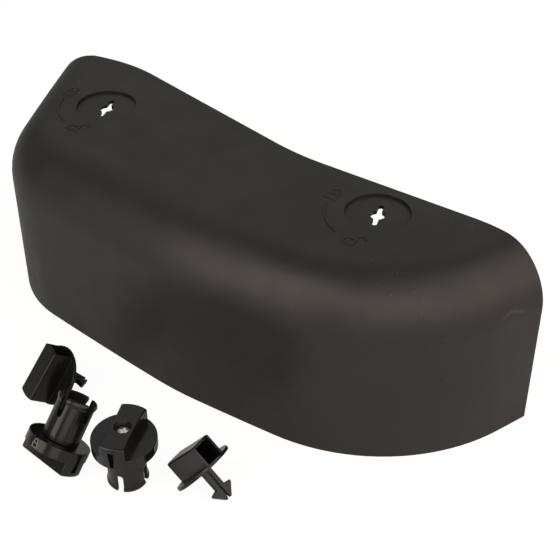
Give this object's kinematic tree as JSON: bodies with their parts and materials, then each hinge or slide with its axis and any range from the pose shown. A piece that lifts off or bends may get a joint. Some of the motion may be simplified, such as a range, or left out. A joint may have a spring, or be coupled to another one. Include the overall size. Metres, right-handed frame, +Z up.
{
  "type": "chair armrest cover",
  "caption": "Hard moulded black armrest cover with two quarter-turn lock stations, standing with its loose turn locks and arrow-clip turn caps beside it",
  "frame": {"origin": "middle of the footprint of the cover and its loose pieces, on the plane they stand on", "axes": "+X along the row of lock stations, +Y towards the cover's open back, +Z up"},
  "size_m": [0.4044, 0.2488, 0.1241],
  "materials": {
    "cover_plastic": "satin, fine moulded grain",
    "lock_plastic": "semi-gloss moulded",
    "zinc": "bright zinc plate"
  },
  "bodies": {
    "cover": {"cover_shell": "cover_plastic"},
    "lock_1_sleeve": {"lock_sleeve_1": "lock_plastic"},
    "lock_1_grip": {"lock_grip_1": "lock_plastic", "lock_screw_1": "zinc", "lock_washer_1": "zinc", "lock_nut_1": "zinc"},
    "lock_2_grip": {"lock_grip_2": "lock_plastic", "lock_screw_2": "zinc", "lock_washer_2": "zinc", "lock_nut_2": "zinc"},
    "lock_2_sleeve": {"lock_sleeve_2": "lock_plastic"},
    "cap_1": {"turn_cap_1": "lock_plastic"},
    "cap_2": {"turn_cap_2": "lock_plastic"}
  },
  "joints": [
    {"name": "lock_1_lift", "type": "slide", "parent": "cover", "child": "lock_1_sleeve", "axis": [0, 0, 1], "range_m": [0, 0.15]},
    {"name": "lock_1_turn", "type": "hinge", "parent": "lock_1_sleeve", "child": "lock_1_grip", "pos_m": [0.03194, -0.0937, 0.0225], "axis": [0, 0, 1], "range_deg": [0, 90]},
    {"name": "lock_2_lift", "type": "slide", "parent": "cover", "child": "lock_2_grip", "axis": [0, 0, 1], "range_m": [0, 0.15]},
    {"name": "lock_2_turn", "type": "hinge", "parent": "lock_2_grip", "child": "lock_2_sleeve", "pos_m": [-0.00766, -0.0875, 0.03902], "axis": [-0.0787, -0.632, -0.771], "range_deg": [0, 90]},
    {"name": "cap_1_lift", "type": "slide", "parent": "cover", "child": "cap_1", "axis": [0, 0, 1], "range_m": [0, 0.15]},
    {"name": "cap_2_lift", "type": "slide", "parent": "cover", "child": "cap_2", "axis": [0, 0, 1], "range_m": [0, 0.15]}
  ]
}
